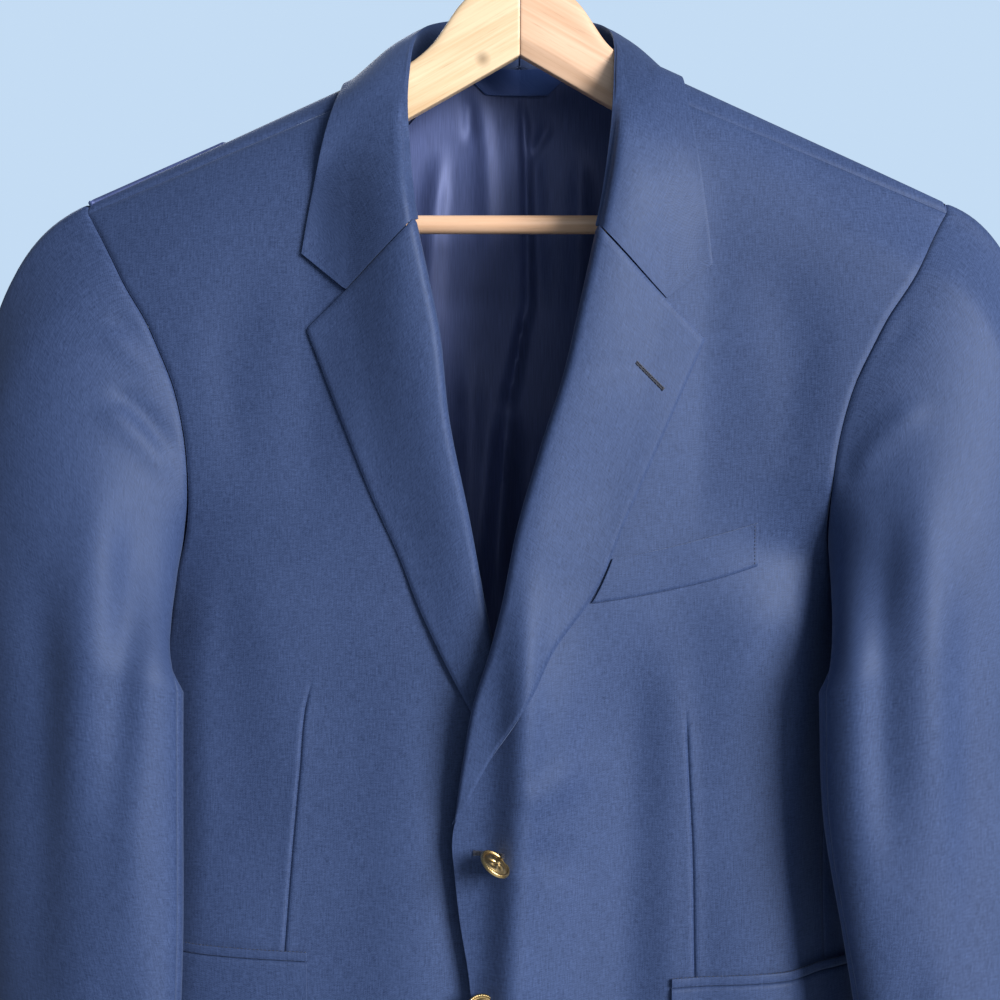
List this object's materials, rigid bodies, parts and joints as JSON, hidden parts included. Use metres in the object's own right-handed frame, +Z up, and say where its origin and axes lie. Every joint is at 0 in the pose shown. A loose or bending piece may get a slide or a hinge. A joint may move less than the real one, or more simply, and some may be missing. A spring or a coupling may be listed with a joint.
{
  "type": "single breasted blazer on a wooden hanger",
  "caption": "Navy two-button blazer with notched lapels, breast welt, flapped hip pockets and brass buttons, hanging open-necked on a pale wooden hanger.",
  "frame": {"origin": "where a rail carries the hanger's hook: the top of the inside of the hook, over the middle of the hanger", "axes": "+Z up along the hook's stem, -Y is the blazer's front, +X is the wearer's left, where the front laps over"},
  "size_m": [0.662, 0.1833, 0.9339],
  "materials": {
    "navy_wool": "fine worsted twill, soft matt",
    "navy_satin": "satin lining",
    "label_satin": "woven satin, bare",
    "brass": "polished, lightly aged",
    "pale_wood": "clear satin lacquer",
    "bright_steel": "bright plated wire"
  },
  "bodies": {
    "root": {"back_left": "navy_wool", "back_right": "navy_wool", "breast_welt": "navy_wool", "button_cuff_left_1": "brass", "button_cuff_left_2": "brass", "button_cuff_left_3": "brass", "button_cuff_left_4": "brass", "button_cuff_right_1": "brass", "button_cuff_right_2": "brass", "button_cuff_right_3": "brass", "button_cuff_right_4": "brass", "button_front_lower": "brass", "button_front_upper": "brass", "collar": "navy_wool", "front_left": "navy_wool", "front_right": "navy_wool", "hanger_arm_left": "pale_wood", "hanger_arm_right": "pale_wood", "hanger_bar": "pale_wood", "hanger_ferrule": "bright_steel", "hanger_hook": "bright_steel", "lapel_left": "navy_wool", "lapel_right": "navy_wool", "lining_back": "navy_satin", "neck_label": "label_satin", "pocket_flap_left": "navy_wool", "pocket_flap_right": "navy_wool", "pocket_jet_left": "navy_wool", "pocket_jet_right": "navy_wool", "side_left": "navy_wool", "side_right": "navy_wool", "sleeve_under_left": "navy_wool", "sleeve_under_right": "navy_wool", "sleeve_upper_left": "navy_wool", "sleeve_upper_right": "navy_wool"}
  },
  "joints": []
}
